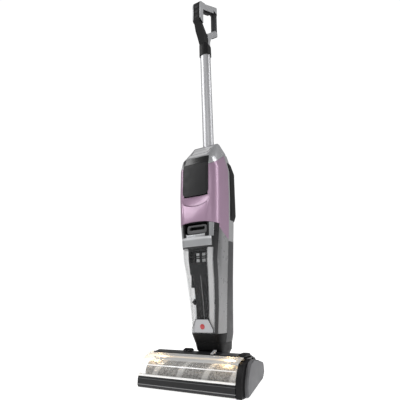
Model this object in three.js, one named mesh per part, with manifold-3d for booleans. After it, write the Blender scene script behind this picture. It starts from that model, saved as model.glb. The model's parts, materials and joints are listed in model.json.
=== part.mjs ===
// A cordless upright carpet cleaner: a brush head with a clear window, a jointed neck, a tapered body with
// a removable two-chamber tank, and a pole with a D-shaped handle. Millimetres, +Z up. The front faces -Y,
// the floor is z = 0, and the origin is under the middle of the machine's outer box.
import * as THREE from "three";
import { mergeVertices } from "three/addons/utils/BufferGeometryUtils.js";
import Module from "manifold-3d";

const wasm = await Module();
wasm.setup();

// ---- Driving dimensions ------------------------------------------------------------------------------

const GAP = 0.4; // clearance between pieces that touch or nest
const RUNNING = 0.6; // radial clearance round anything that turns

// Brush head. The brush axis is the head's reference.
const HEAD_HALF_WIDTH = 139;
const BRUSH = { y: -59, z: 30, radius: 28.5, core: 18, journal: 5 };
const CHAMBER = { radius: 32.5, wall: 2.5, from: -34, to: 66 };
const WINDOW_WALL = 2.2;
const HEAD = { front: -101, rear: 6.5, floor: 10, top: 76.5, bottom: 0 };
const CAP = { thickness: 8, rear: 3 };
const DRIVE = { depth: 13, wall: 2.5, belt: 6, beltThickness: 1.6 };
const BRUSH_PULLEY_RADIUS = 13;
const MOTOR = { y: -13, z: 42, radius: 12, length: 72, pulley: 7 };
const WHEEL = { y: 46, z: 24, radius: 24, tread: 3, width: 17, inner: 43, axle: 4 };
const PIVOT = { y: 24, z: 40, barrel: 20, pin: 6, halfWidth: 31, earThickness: 8, earRadius: 15 };
const TAIL_REAR = 58;
const STRIP = {
  front: -56.5, rear: -49.4, bottom: 66.5, top: 73,
  left: -HEAD_HALF_WIDTH + 22, right: HEAD_HALF_WIDTH - 42,
};
const LED = { y: -47.5, z: 64.5, left: STRIP.left + 5, right: STRIP.right - 5, lampHalf: 12 };
const RELEASE = { left: STRIP.right + 4, width: 16, front: -58, rear: -20, bottom: 72, travel: 2.5 };
const SPRAY = { left: LED.left + 12, right: LED.right + 2 };
const TAB = { left: 34, right: 40.5 };
const DECK = 3; // floor thickness of the chassis
const ARM = 3; // chassis arm that carries the brush's left journal

// Body: half-width, front, rear and corner radius of its rounded outline at each height.
const SWIVEL_Z = 95;
const SECTIONS = [
  { z: SWIVEL_Z, halfWidth: 39, front: -23, rear: 60, radius: 22 },
  { z: 115, halfWidth: 43, front: -32, rear: 61, radius: 24 },
  { z: 182, halfWidth: 46, front: -39, rear: 60, radius: 27 },
  { z: 244, halfWidth: 49, front: -50, rear: 59, radius: 28 },
  { z: 290, halfWidth: 52, front: -60, rear: 58, radius: 28 },
  { z: 385, halfWidth: 57, front: -66, rear: 57, radius: 28 },
  { z: 455, halfWidth: 59, front: -66, rear: 57, radius: 28 },
  { z: 530, halfWidth: 59, front: -64, rear: 56, radius: 28 },
  { z: 556, halfWidth: 53, front: -62, rear: 54, radius: 27 },
  { z: 585, halfWidth: 46, front: -35, rear: 42, radius: 20 },
  { z: 610, halfWidth: 38, front: -9, rear: 4, radius: 3 },
];
const BODY_WALL = 2.6;
const SPINE_SEAM_Y = 9; // where the front shells and the tank meet the rear spine
const SPINE_WALL = 3;

// Two-chamber tank, which slides out forwards.
const TANK = { bottom: 117, top: 318, wall: 2.2, divide: -4 };
const WING = { inner: 31, innerZ: 130, flare: 0.074, thickness: 2.2, top: 384 };
const CLEAN = { rear: 47, halfWidth: 36, top: 316, filler: 11 };
const LID = { top: 346, blockTop: 380, blockRear: -30, recess: 34, lip: 42, lipHeight: 23 };
const LATCH = { front: -57, rear: -47.5 }; // it is pressed 3 towards the recess's back wall at y -44
const RISER = { halfWidth: 20, depth: 17, wall: 2 };
const CAGE = { bottom: 254, halfWidth: 28, depth: 34, wall: 2, windows: 284 };
const FLOAT = { z: 190, height: 14, reach: 11 };
const BADGE = { top: 149, halfWidth: 29, thickness: 2.4 };

// Upper body.
const SHELL_ARCH = 384; // top of the front shell's arched lower edge
const SHELL_FRONT_EDGE = 378; // lower edge of the front shell at the front corners
const SHELL_REAR_EDGE = 340; // and where it meets the spine
const DOOR = { bottom: 453, top: 540, halfWidth: 39, thickness: 3.5, corner: 12 };
const COLLAR_FRONT = 532; // the collar's lower edge at the front, rising to the rear
const COLLAR_RISE = 0.62;
const DISPLAY_HALF_WIDTH = 29;
const BAND_TOP = 558; // top of the glossy band over the filter door
const BATTERY = { bottom: 397, top: 558, front: 17, bulge: 6 };
const SUCTION = { y: -24, fanZ: 392, fan: 28, fanHeight: 15, motor: 23, motorHeight: 36 };
const OUTLET_RADIUS = 10; // air way from the separator through the lid to the fan
const SCOOP = { z: 446, halfWidth: 46, height: 23, depth: 7, backing: 10 }; // finger dish under the door
const PUMP = { x: 42, y: -26, bottom: 398, head: 9, motor: 7.5, headHeight: 11, motorHeight: 27 };
const BOARD = { halfWidth: 36, front: 4, thickness: 1.6, bottom: 462, top: 548 };

// Pole and handle. The pole leans forward a little as it rises.
const POLE = { halfWidth: 16, halfDepth: 14, wall: 1.8, baseY: 7, baseZ: 566, top: 938, lean: -0.034 };
const HANDLE = {
  datum: 938, halfWidth: 11, strut: 14, cheek: 3.5, bottom: 945, collarBottom: 908, strutRear: -34, rear: 65,
};
const GRIP = { y: 54.5, halfWidth: 9.5, halfDepth: 10.5, bottom: 1031, top: 1104, core: 6 };
const BUTTON = {
  halfWidth: 6.5, height: 10, travel: 1.6, pitch: 17.5, lowest: 1018, face: -52.5, proud: 1.2,
};
const TRIGGER = { y: -17, z: 1066, halfWidth: 6, reach: 38, slope: 0.556 };

// ---- Solid helpers -----------------------------------------------------------------------------------

function solid(geometry) {
  const bare = geometry.index ? geometry.toNonIndexed() : geometry.clone();
  bare.deleteAttribute("normal");
  bare.deleteAttribute("uv");
  const merged = mergeVertices(bare, 1e-4);
  const vertProperties = merged.attributes.position.array;
  const triVerts = new Uint32Array(merged.index.array);
  return new wasm.Manifold(new wasm.Mesh({ numProp: 3, vertProperties, triVerts }));
}

function join(...solids) {
  return solids.reduce((whole, next) => whole.add(next));
}

function cut(body, ...tools) {
  return tools.reduce((rest, tool) => rest.subtract(tool), body);
}

function block([x0, x1], [y0, y1], [z0, z1]) {
  const box = new THREE.BoxGeometry(x1 - x0, y1 - y0, z1 - z0);
  return solid(box.translate((x0 + x1) / 2, (y0 + y1) / 2, (z0 + z1) / 2));
}

function ordered(a, b) {
  return [Math.min(a, b), Math.max(a, b)];
}

const X = new THREE.Vector3(1, 0, 0);
const Y = new THREE.Vector3(0, 1, 0);
const Z = new THREE.Vector3(0, 0, 1);

function extruded(points, depth, holes = []) {
  const shape = new THREE.Shape(points.map(([u, v]) => new THREE.Vector2(u, v)));
  shape.holes = holes.map((hole) => new THREE.Path(hole.map(([u, v]) => new THREE.Vector2(u, v))));
  return new THREE.ExtrudeGeometry(shape, { depth, bevelEnabled: false });
}

// An outline in (y, z), drawn out along X from x0 to x1.
function plateX(points, x0, x1, holes) {
  const turn = new THREE.Matrix4().makeBasis(Y, Z, X);
  return solid(extruded(points, x1 - x0, holes).applyMatrix4(turn).translate(x0, 0, 0));
}

// An outline in (x, z), drawn out along Y from y0 to y1.
function plateY(points, y0, y1, holes) {
  const turn = new THREE.Matrix4().makeBasis(X, Z, Y.clone().negate());
  return solid(extruded(points, y1 - y0, holes).applyMatrix4(turn).translate(0, y1, 0));
}

// An outline in (x, y), drawn up along Z from z0 to z1.
function plateZ(points, z0, z1, holes) {
  return solid(extruded(points, z1 - z0, holes).translate(0, 0, z0));
}

function arc(u, v, radius, from, to, steps) {
  return Array.from({ length: steps + 1 }, (_, i) => {
    const angle = THREE.MathUtils.degToRad(from + ((to - from) * i) / steps);
    return [u + radius * Math.cos(angle), v + radius * Math.sin(angle)];
  });
}

function roundedBox(u0, u1, v0, v1, radius, steps = 3) {
  return [
    ...arc(u1 - radius, v1 - radius, radius, 0, 90, steps),
    ...arc(u0 + radius, v1 - radius, radius, 90, 180, steps),
    ...arc(u0 + radius, v0 + radius, radius, 180, 270, steps),
    ...arc(u1 - radius, v0 + radius, radius, 270, 360, steps),
  ];
}

// A round bar along X, Y or Z between two stations; centre gives the other two coordinates in order.
function rod(axis, radius, from, to, [c0, c1], segments = 20) {
  const bar = new THREE.CylinderGeometry(radius, radius, to - from, segments);
  if (axis === "x") bar.rotateZ(Math.PI / 2).translate((from + to) / 2, c0, c1);
  if (axis === "y") bar.translate(c0, (from + to) / 2, c1);
  if (axis === "z") bar.rotateX(Math.PI / 2).translate(c0, c1, (from + to) / 2);
  return solid(bar);
}

// A closed skin through rings of equal point count, lowest ring first.
function loft(rings) {
  const count = rings[0].length;
  const positions = rings.flat(2);
  const index = [];
  for (let level = 0; level + 1 < rings.length; level++)
    for (let i = 0; i < count; i++) {
      const [a, b] = [level * count + i, level * count + ((i + 1) % count)];
      index.push(a, b, b + count, a, b + count, a + count);
    }
  const top = (rings.length - 1) * count;
  for (let i = 1; i + 1 < count; i++) {
    index.push(0, i + 1, i);
    index.push(top, top + i, top + i + 1);
  }
  const geometry = new THREE.BufferGeometry();
  geometry.setAttribute("position", new THREE.Float32BufferAttribute(positions, 3));
  geometry.setIndex(index);
  return solid(geometry);
}

function mix(a, b, share) {
  return a + (b - a) * share;
}

function sectionAt(z, sections = SECTIONS) {
  const last = sections[sections.length - 1];
  if (z >= last.z) return { ...last, z };
  if (z <= sections[0].z) return { ...sections[0], z };
  const above = sections.findIndex((s) => s.z > z);
  const [low, high] = [sections[above - 1], sections[above]];
  const share = (z - low.z) / (high.z - low.z);
  const blend = (key) => mix(low[key], high[key], share);
  return {
    z,
    halfWidth: blend("halfWidth"),
    front: blend("front"),
    rear: blend("rear"),
    radius: blend("radius"),
  };
}

function sectionRing({ z, halfWidth, front, rear, radius }, inset, steps = 4) {
  const corner = Math.max(radius - inset, 0.8);
  const outline = roundedBox(
    -halfWidth + inset, halfWidth - inset, front + inset, rear - inset, corner, steps,
  );
  return outline.map(([x, y]) => [x, y, z]);
}

// The body's outer form, or its inside at a given inset, between two heights.
function bodyForm(z0, z1, inset = 0, sections = SECTIONS) {
  const between = sections.map((s) => s.z).filter((z) => z > z0 + 0.5 && z < z1 - 0.5);
  return loft([z0, ...between, z1].map((z) => sectionRing(sectionAt(z, sections), inset)));
}

function bodyShell(z0, z1, wall) {
  return cut(bodyForm(z0, z1), bodyForm(z0 - 1, z1 + 1, wall));
}

const WIDE = [-400, 400];

// ---- Materials ---------------------------------------------------------------------------------------

function material(color, roughness, metalness = 0) {
  return () => new THREE.MeshStandardMaterial({ color, roughness, metalness });
}

function clearMaterial(color, opacity) {
  return () => new THREE.MeshStandardMaterial({ color, roughness: 0.08, transparent: true, opacity });
}

const blackPlastic = material(0x17181a, 0.45);
const glossBlack = material(0x0b0b0c, 0.12);
const greyPlastic = material(0x77787a, 0.5);
const silverPlastic = material(0xb4b5b8, 0.28, 0.4);
const lilacPaint = material(0xa888a6, 0.32, 0.45);
const aluminium = material(0xb9babd, 0.3, 0.9);
const steel = material(0xc4c6c8, 0.3, 0.9);
const rubber = material(0x1c1c1d, 0.85);
const pile = material(0xd9d6d0, 0.95);
const clearPlastic = clearMaterial(0xf2f5f6, 0.3);
const smokedPlastic = clearMaterial(0x7c7d80, 0.6);
const warmLens = material(0xffe2ae, 0.4);
const greenBoard = material(0x2f5a3c, 0.6);
const filterMedia = material(0xe8e6df, 0.9);

const model = new THREE.Group();

function place(name, shape, makeMaterial) {
  const { vertProperties, triVerts, numProp } = shape.getMesh();
  const positions = new Float32Array((vertProperties.length / numProp) * 3);
  for (let i = 0; i < positions.length / 3; i++)
    positions.set(vertProperties.subarray(i * numProp, i * numProp + 3), i * 3);
  const indexed = new THREE.BufferGeometry();
  indexed.setAttribute("position", new THREE.BufferAttribute(positions, 3));
  indexed.setIndex(new THREE.BufferAttribute(triVerts, 1));
  const geometry = indexed.toNonIndexed();
  geometry.computeVertexNormals();
  const mesh = new THREE.Mesh(geometry, makeMaterial());
  mesh.name = name;
  model.add(mesh);
}

// ---- Brush head --------------------------------------------------------------------------------------

const INNER_RIGHT = HEAD_HALF_WIDTH - CAP.thickness - GAP; // outer face of the drive housing
const DRIVE_LEFT = INNER_RIGHT - DRIVE.depth; // its inner wall starts here
const WINDOW_RIGHT = DRIVE_LEFT - GAP;
const CHASSIS_LEFT = -HEAD_HALF_WIDTH + WINDOW_WALL + 1.8;
const CHASSIS_RIGHT = DRIVE_LEFT - GAP;
const CHAMBER_OUTER = CHAMBER.radius + CHAMBER.wall;

// Side outline of the window's outer face, from its lower front edge over the brush to the rear edge.
function windowOutline(inset) {
  return [
    [HEAD.front + inset, 27],
    [-99.5 + inset, 41],
    [-93 + inset * 0.9, 55 - inset * 0.4],
    [-83 + inset * 0.6, 65 - inset * 0.8],
    [-70 + inset * 0.3, 71 - inset],
    [-58, 73 - inset],
  ];
}

// Side outline of the head's right end.
function capOutline(inset) {
  return [
    [-84 + inset, 1 + inset],
    [CAP.rear - 9 - inset, 25 + inset],
    [CAP.rear - inset, 39],
    [CAP.rear - 3 - inset, 58 - inset],
    [-28, 66 - inset],
    [-51, 70 - inset],
    [-66, 65 - inset],
    [-75 + inset, 56 - inset],
    [-80 + inset, 44],
    [-85 + inset, 34],
    [-88 + inset, 21],
    [-87 + inset, 4 + inset],
  ];
}

function neckClearance() {
  const front = -20;
  const deck = HEAD.floor + DECK;
  const outline = [[front, 100], [front, 66], [-1, 46], [-1, deck], [90, deck], [90, 100]];
  return plateX(outline.reverse(), -PIVOT.halfWidth - 2, PIVOT.halfWidth + 2);
}

function headChassis() {
  const { y, z } = BRUSH;
  const chamber = plateX(
    [
      ...arc(y, z, CHAMBER_OUTER, CHAMBER.from, CHAMBER.to, 12),
      ...arc(y, z, CHAMBER.radius, CHAMBER.to, CHAMBER.from, 12),
    ],
    CHASSIS_LEFT, CHASSIS_RIGHT,
  );
  const wide = [CHASSIS_LEFT, CHASSIS_RIGHT];
  const floor = block(wide, [-33, HEAD.rear], [HEAD.floor, HEAD.floor + DECK]);
  const rearWall = block(wide, [HEAD.rear - 2.5, HEAD.rear], [HEAD.floor, 58]);
  const arm = plateX(
    [
      [-28, HEAD.floor],
      [-26, 50],
      ...arc(y, z, 11, 60, 300, 10),
    ].reverse(),
    CHASSIS_LEFT, CHASSIS_LEFT + ARM,
  );
  const endWalls = [CHASSIS_LEFT, CHASSIS_RIGHT - 3].map((x) =>
    block([x, x + 3], [-27, HEAD.rear], [HEAD.floor, 56]),
  );
  const tail = block(
    [-PIVOT.halfWidth - PIVOT.earThickness, PIVOT.halfWidth + PIVOT.earThickness],
    [HEAD.rear - 3, TAIL_REAR], [HEAD.floor, HEAD.floor + DECK],
  );
  const ears = [-1, 1].map((side) => {
    const inner = PIVOT.halfWidth + GAP;
    const outer = inner + PIVOT.earThickness - GAP;
    const outline = [
      [HEAD.rear - 3, HEAD.floor],
      [WHEEL.y + 7, HEAD.floor],
      [WHEEL.y + 7, WHEEL.z + 4],
      ...arc(PIVOT.y, PIVOT.z, PIVOT.earRadius, 10, 150, 8),
      [HEAD.rear - 3, 50],
    ];
    return plateX(outline, ...ordered(side * inner, side * outer));
  });
  const stubs = [-1, 1].map((side) => {
    const [near, far] = [PIVOT.halfWidth + 2, WHEEL.inner + WHEEL.width + 2];
    return rod("x", WHEEL.axle, ...ordered(side * near, side * far), [WHEEL.y, WHEEL.z], 16);
  });
  const pinHoles = rod("x", PIVOT.pin + GAP, -60, 60, [PIVOT.y, PIVOT.z], 20);
  const journalHole = rod("x", BRUSH.journal + RUNNING, -200, 0, [y, z], 16);
  const inlet = block([-28, 28], [-40, -20], [18, 36]);
  const outlet = block([-24, 24], [-4, 20], [28, 46]);
  const body = join(chamber, floor, rearWall, arm, ...endWalls, tail, ...ears, ...stubs);
  return cut(body, neckClearance(), pinHoles, journalHole, inlet, outlet);
}

function solePlate() {
  const wide = [CHASSIS_LEFT + 2, CHASSIS_RIGHT - 2];
  const plate = block(wide, [-31, HEAD.rear - 1], [6.5, HEAD.floor - GAP]);
  const outer = HEAD_HALF_WIDTH - 43;
  const skids = [-outer, 0, outer].map((x) => block([x - 9, x + 9], [-20, 2], [HEAD.bottom, 7]));
  return join(plate, ...skids);
}

function squeegee() {
  return plateX(
    [
      [-35.2, HEAD.floor - GAP], [-31.6, HEAD.floor - GAP], [-31.6, 6], [-32.6, 0.6], [-34, 0.6],
      [-35.2, 8.6],
    ],
    CHASSIS_LEFT + 4, CHASSIS_RIGHT - 4,
  );
}

function headTopCover() {
  const outline = [
    [-49, 68.6], [-49, 73], [-26, HEAD.top], [2, 66], [HEAD.rear, 60], [HEAD.rear, 58.4],
    [3, 58.4], [0, 63], [-26, HEAD.top - 2.6], [-46, 70.6], [-46, 68.6],
  ].reverse();
  const cover = plateX(outline, CHASSIS_LEFT, CHASSIS_RIGHT);
  const releaseNotch = block([RELEASE.left - 1, CHASSIS_RIGHT + 1], [-60, -18], [60, 90]);
  return join(cut(cover, neckClearance(), releaseNotch), releaseSeat());
}

// The black bar along the cover's front edge, which the window butts against.
function coverStrip() {
  const outline = [
    [STRIP.front, STRIP.bottom], [STRIP.rear, STRIP.bottom], [STRIP.rear, STRIP.top + 1],
    [STRIP.front + 2, STRIP.top], [STRIP.front, STRIP.top - 2],
  ];
  return plateX(outline, STRIP.left, STRIP.right);
}

function ledBar() {
  const [bottom, top] = [LED.z - 2, LED.z + 1.8];
  const rail = block([LED.left, LED.right], [LED.y - 2.5, LED.y + 2.5], [bottom, top]);
  const lamps = [LED.left + 8, LED.right - 10].map((x) =>
    block([x - LED.lampHalf, x + LED.lampHalf], [LED.y - 6, LED.y], [bottom, top]),
  );
  return join(rail, ...lamps);
}

function sprayBar() {
  const { left, right } = SPRAY;
  const pipe = rod("x", 3, left, right, [-37, 66.5], 10);
  const nozzles = [0.15, 0.4, 0.6, 0.85].map((share) => {
    const x = mix(left, right, share);
    return block([x - 3, x + 3], [-43, -37], [65, 68]);
  });
  return join(pipe, ...nozzles);
}

function frontBumper() {
  const outline = [
    [HEAD.front + 1.5, 1], [-94, 1], [-94, 8], [-95.5, 12], [-95.5, 25.5], [-100, 25.5],
    [HEAD.front - 1, 20], [HEAD.front - 1.5, 6],
  ];
  return plateX(outline, -HEAD_HALF_WIDTH, DRIVE_LEFT - GAP);
}

function driveHousing() {
  const bezel = [[-86, 61], [-95, 48], [-99.5, 36], [HEAD.front, 20], [HEAD.front, HEAD.bottom]];
  const rear = [[-80, HEAD.bottom], ...capOutline(0).slice(1, 7)];
  const shell = plateX([...bezel, ...rear], DRIVE_LEFT, INNER_RIGHT);
  const hollow = plateX(capOutline(DRIVE.wall), DRIVE_LEFT + DRIVE.wall, INNER_RIGHT + 1);
  const brushHole = rod("x", BRUSH_PULLEY_RADIUS + 3, DRIVE_LEFT - 1, INNER_RIGHT, [BRUSH.y, BRUSH.z], 20);
  const motorHole = rod("x", MOTOR.pulley + 1.5, DRIVE_LEFT - 1, INNER_RIGHT, [MOTOR.y, MOTOR.z], 16);
  return cut(shell, hollow, brushHole, motorHole);
}

function endCap() {
  const plate = plateX(capOutline(0), INNER_RIGHT + GAP, HEAD_HALF_WIDTH - 2);
  const crown = plateX(capOutline(2), HEAD_HALF_WIDTH - 2.5, HEAD_HALF_WIDTH);
  return join(plate, crown);
}

// Belt round the two pulleys: the outline of two arcs and their outer tangents.
function beltOutline(grow) {
  const [dy, dz] = [MOTOR.y - BRUSH.y, MOTOR.z - BRUSH.z];
  const span = Math.hypot(dy, dz);
  const heading = THREE.MathUtils.radToDeg(Math.atan2(dz, dy));
  const flare = THREE.MathUtils.radToDeg(Math.acos((BRUSH_PULLEY_RADIUS - MOTOR.pulley) / span));
  return [
    ...arc(BRUSH.y, BRUSH.z, BRUSH_PULLEY_RADIUS + grow, heading + flare, heading + 360 - flare, 14),
    ...arc(MOTOR.y, MOTOR.z, MOTOR.pulley + grow, heading - flare, heading + flare, 6),
  ];
}

const BELT_LEFT = DRIVE_LEFT + DRIVE.wall + 2;

function driveBelt() {
  return plateX(beltOutline(RUNNING + DRIVE.beltThickness), BELT_LEFT, BELT_LEFT + DRIVE.belt, [
    beltOutline(RUNNING),
  ]);
}

function brushMotor() {
  const right = CHASSIS_RIGHT - 3 - GAP;
  const can = rod("x", MOTOR.radius, right - MOTOR.length, right, [MOTOR.y, MOTOR.z], 20);
  const boss = rod("x", 5, right - MOTOR.length - 6, right - MOTOR.length + 1, [MOTOR.y, MOTOR.z], 12);
  return join(can, boss);
}

function motorPulley() {
  const [left, right] = [BELT_LEFT - 0.5, BELT_LEFT + DRIVE.belt + 0.5];
  const wheel = rod("x", MOTOR.pulley, left, right, [MOTOR.y, MOTOR.z], 18);
  const flange = rod("x", MOTOR.pulley + 1, right - 0.1, right + 0.9, [MOTOR.y, MOTOR.z], 18);
  return join(wheel, flange);
}

function brushCore() {
  const centre = [BRUSH.y, BRUSH.z];
  const tube = rod("x", BRUSH.core, CHASSIS_LEFT + ARM + 1, CHASSIS_RIGHT - 2, centre, 24);
  const journal = rod("x", BRUSH.journal, CHASSIS_LEFT - 1, CHASSIS_LEFT + 8, centre, 16);
  const shaft = rod("x", 9, CHASSIS_RIGHT - 3, BELT_LEFT, centre, 16);
  const pulley = rod("x", BRUSH_PULLEY_RADIUS, BELT_LEFT - 0.5, BELT_LEFT + DRIVE.belt + 0.5, centre, 24);
  return join(tube, journal, shaft, pulley);
}

function brushPile() {
  const [left, right] = [CHASSIS_LEFT + ARM + 1.5, CHASSIS_RIGHT - 3];
  const outer = BRUSH.radius;
  const profile = [
    [BRUSH.core + GAP, left], [outer - 2, left], [outer, left + 2], [outer, right - 2],
    [outer - 2, right], [BRUSH.core + GAP, right], [BRUSH.core + GAP, left],
  ].map(([r, x]) => new THREE.Vector2(r, x));
  const sleeve = new THREE.LatheGeometry(profile, 32);
  return solid(sleeve.rotateZ(-Math.PI / 2).translate(0, BRUSH.y, BRUSH.z));
}

function brushWindow() {
  const outer = windowOutline(0);
  const inner = windowOutline(WINDOW_WALL).reverse();
  const skin = plateX([...outer, ...inner].reverse(), -HEAD_HALF_WIDTH, WINDOW_RIGHT);
  const left = -HEAD_HALF_WIDTH;
  const side = plateX(
    [
      [HEAD.front - 1.5, 26.5], [-93.4, 26.5], [-93.4, 8], [-30, 8], [-24, 20], [-24, 70],
      [-49, HEAD.top], [-60, 76], ...windowOutline(0).reverse().slice(1),
    ],
    left, left + WINDOW_WALL,
  );
  const rib = block([left, WINDOW_RIGHT], [HEAD.front - 1.6, HEAD.front + 2], [26, 29.5]);
  return join(skin, side, rib);
}

function releaseButton() {
  const outline = [
    [RELEASE.front + 1, RELEASE.bottom], [RELEASE.rear, RELEASE.bottom], [RELEASE.rear, 76.5],
    [RELEASE.rear - 6, 79], [-42, 78.5], [RELEASE.front + 1, 74],
  ];
  return plateX(outline, RELEASE.left, RELEASE.left + RELEASE.width);
}

// Tray in the top cover that the release button is pressed down into.
function releaseSeat() {
  const bottom = RELEASE.bottom - RELEASE.travel - GAP;
  const floor = block([STRIP.right + GAP, CHASSIS_RIGHT], [-54, -16], [bottom - 3, bottom]);
  const side = block([STRIP.right + GAP, RELEASE.left - 1], [-48, -16], [bottom - 3, 72]);
  const back = block([STRIP.right + GAP, CHASSIS_RIGHT], [-18.4, -16], [bottom - 3, 73.4]);
  return join(floor, side, back);
}

function coverCatch() {
  const outline = [[-55, 0], [-24, 0], [-30, 5.5], [-48, 5.5]];
  const raised = outline.map(([x, z]) => [x - 6, z + HEAD.top + GAP]);
  return plateY(raised, -30, -22);
}

// Pale lever over the black bar, on a foot that stands on the cover.
function coverTab() {
  const lever = plateX([[-56.5, 74.8], [-39, 79.2], [-40, 82.8], [-57, 77]], TAB.left, TAB.right);
  const foot = block([TAB.left + 1, TAB.right - 1], [-46, -42], [74.5, 78.6]);
  return join(lever, foot);
}

function suctionDuct() {
  const outer = block([-27, 27], [-25, -4.5], [19, 35]);
  const inner = block([-24, 24], [-40, 0], [21.5, 32.5]);
  return cut(outer, inner);
}

function pivotPin(side) {
  const [near, far] = [PIVOT.halfWidth - 9, PIVOT.halfWidth + PIVOT.earThickness + 1];
  return rod("x", PIVOT.pin, ...ordered(side * near, side * far), [PIVOT.y, PIVOT.z], 20);
}

function chargeContacts() {
  const strip = block([-16, 16], [TAIL_REAR - 12, TAIL_REAR - 1], [HEAD.floor - 2.4, HEAD.floor - GAP]);
  const studs = [-9, 9].map((x) => rod("z", 3, HEAD.floor - 3.6, HEAD.floor - 1, [x, TAIL_REAR - 6.5], 12));
  return join(strip, ...studs);
}

// One wheel: a plastic hub turning on the chassis stub, and its rubber tyre.
function wheelHub(side) {
  const [near, far] = [side * WHEEL.inner, side * (WHEEL.inner + WHEEL.width)];
  const centre = [WHEEL.y, WHEEL.z];
  const disc = rod("x", WHEEL.radius - WHEEL.tread - GAP, ...ordered(near, far), centre, 28);
  return cut(disc, rod("x", WHEEL.axle + RUNNING, -80, 80, centre, 16));
}

function wheelTyre(side) {
  const [near, far] = [side * (WHEEL.inner + 0.5), side * (WHEEL.inner + WHEEL.width - 0.5)];
  const centre = [WHEEL.y, WHEEL.z];
  const tread = rod("x", WHEEL.radius, ...ordered(near, far), centre, 28);
  return cut(tread, rod("x", WHEEL.radius - WHEEL.tread, -80, 80, centre, 28));
}

// ---- Neck --------------------------------------------------------------------------------------------

function neckBoot(grow) {
  const levels = [
    { z: 56, halfWidth: 28, front: 1, rear: 49, radius: 14 },
    { z: 68, halfWidth: PIVOT.halfWidth, front: -8, rear: 57, radius: 18 },
    { z: 78, halfWidth: 36.5, front: -17, rear: 60, radius: 20 },
    { z: SWIVEL_Z - GAP, halfWidth: 38.5, front: -22.5, rear: 59.5, radius: 22 },
  ];
  return loft(levels.map((level) => sectionRing(level, -grow)));
}

function neckYoke() {
  const root = PIVOT.barrel - 1.5;
  const stem = block([-26.5, 26.5], [PIVOT.y - root, PIVOT.y + root], [PIVOT.z, 62.5]);
  const barrel = rod("x", PIVOT.barrel, -PIVOT.halfWidth, PIVOT.halfWidth, [PIVOT.y, PIVOT.z], 28);
  const pinBore = rod("x", PIVOT.pin + GAP, -80, 80, [PIVOT.y, PIVOT.z], 20);
  const throat = rod("z", 15, PIVOT.z, SWIVEL_Z + 1, [0, 20], 16);
  const mouth = block([-13, 13], [-20, 23], [32, 47]);
  return cut(join(neckBoot(0), stem, barrel), pinBore, throat, mouth);
}

// ---- Body: structure ---------------------------------------------------------------------------------

function behindSeam(z0, z1) {
  return block(WIDE, [SPINE_SEAM_Y + GAP, 200], [z0, z1]);
}

function aheadOfSeam(z0, z1) {
  return block(WIDE, [-200, SPINE_SEAM_Y], [z0, z1]);
}

function baseSeat() {
  const form = bodyForm(SWIVEL_Z, TANK.bottom - GAP);
  const seat = form.intersect(aheadOfSeam(SWIVEL_Z, TANK.bottom));
  const rear = bodyForm(SWIVEL_Z, SWIVEL_Z + 9, SPINE_WALL + GAP).intersect(behindSeam(SWIVEL_Z, 130));
  const joined = join(seat, rear.add(block([-30, 30], [0, 30], [SWIVEL_Z, SWIVEL_Z + 9])));
  const port = rod("z", 14, SWIVEL_Z - 5, SWIVEL_Z + 40, [0, -4], 20);
  return cut(joined, port);
}

const BAY_CLEAR = 1;
const BAY_WALL = 3;

function rearSpine() {
  const skin = bodyShell(SWIVEL_Z, 583, SPINE_WALL).intersect(behindSeam(SWIVEL_Z - 1, 600));
  const [front, low, high] = [BATTERY.front - BAY_CLEAR, BATTERY.bottom - BAY_CLEAR, BATTERY.top + BAY_CLEAR];
  const bay = block(WIDE, [front, 200], [low, high]);
  const lining = cut(
    block(WIDE, [front - BAY_WALL, 80], [low - BAY_WALL, high + BAY_WALL]),
    bay,
  ).intersect(bodyForm(360, 583, 1));
  const poleHole = poleBar(POLE.halfWidth + 1.5, POLE.halfDepth + 1.5, 540, 620);
  return cut(join(cut(skin, bay), lining), poleHole);
}

// Frame that carries the fan and motor above the tank, and the pole's socket.
function motorFrame() {
  const top = LID.blockTop + 2;
  const outline = [
    [-60, top], [LID.blockRear + 1, top], [LID.blockRear + 1, LID.top + 2],
    [BATTERY.front - 5, LID.top + 2], [BATTERY.front - 5, 552], [BATTERY.front - 8, 552],
    [BATTERY.front - 8, LID.top + 5], [LID.blockRear + 4, LID.top + 5], [LID.blockRear + 4, top + 3],
    [-60, top + 3],
  ];
  const frame = plateX(outline, -44, 44);
  const inlet = rod("z", OUTLET_RADIUS, 300, 420, [0, SUCTION.y], 16);
  return cut(frame, inlet).intersect(bodyForm(LID.top - 5, 556, BODY_WALL + GAP));
}

// ---- Body: casing ------------------------------------------------------------------------------------

// Everything above the collar's sloping lower edge; lift moves the edge along Z.
function aboveCollarEdge(lift) {
  const low = COLLAR_FRONT + lift - 40 * COLLAR_RISE;
  const high = low + 150 * COLLAR_RISE;
  return plateX([[-104, low], [46, high], [200, high], [200, 800], [-104, 800]], -200, 200);
}

function belowShellEdge() {
  const side = plateX(
    [[-200, 0], [200, 0], [200, SHELL_REAR_EDGE], [SPINE_SEAM_Y + 8, SHELL_REAR_EDGE],
      [-58, SHELL_FRONT_EDGE], [-200, SHELL_FRONT_EDGE]],
    -200, 200,
  );
  const archRadius = 260;
  const arch = rod("y", archRadius, -120, -40, [0, SHELL_ARCH - archRadius], 96);
  return join(side, arch);
}

function doorOutline(grow) {
  const { halfWidth, bottom, top, corner } = DOOR;
  const side = halfWidth + grow;
  return [
    [side, top + grow],
    [-side, top + grow],
    ...arc(-side + corner, bottom - grow + corner, corner, 180, 270, 4),
    ...arc(side - corner, bottom - grow + corner, corner, 270, 360, 4),
  ];
}

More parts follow.
